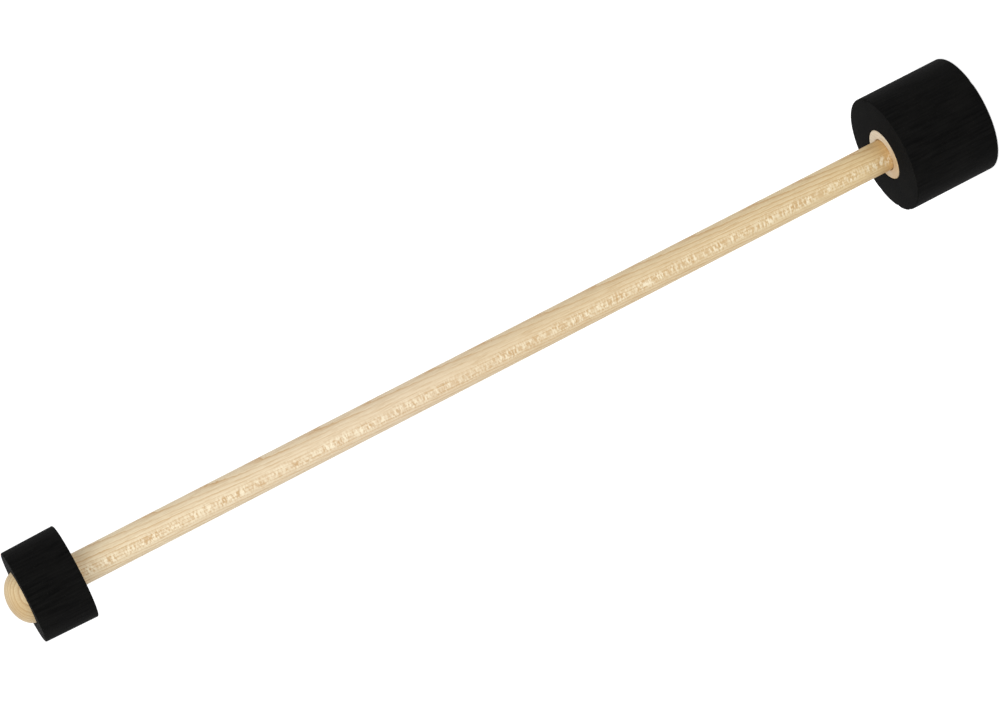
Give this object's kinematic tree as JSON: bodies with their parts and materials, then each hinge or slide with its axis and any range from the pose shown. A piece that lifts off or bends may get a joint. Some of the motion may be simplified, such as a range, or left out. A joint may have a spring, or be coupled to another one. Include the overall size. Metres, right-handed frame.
{
  "type": "cajon mallet",
  "caption": "Double-ended percussion mallet: a round wooden handle with a large foam head on one end and a small foam head with a domed wooden tip on the other.",
  "frame": {"origin": "centre of the large head's flat outer end, on which the mallet stands", "axes": "+Z along the handle from the large head to the domed tip; X and Y are free because every piece is round about Z"},
  "size_m": [0.045, 0.045, 0.3907],
  "materials": {
    "handle_wood": "pale straight-grained maple, sanded smooth, thin satin lacquer",
    "core_wood": "turned pale hardwood, smooth",
    "black_foam": "matt black cut foam with a fine closed-cell surface"
  },
  "bodies": {
    "root": {"handle": "handle_wood", "small_head_core": "core_wood", "small_head_foam": "black_foam", "large_head_core": "core_wood", "large_head_foam": "black_foam"}
  },
  "joints": []
}
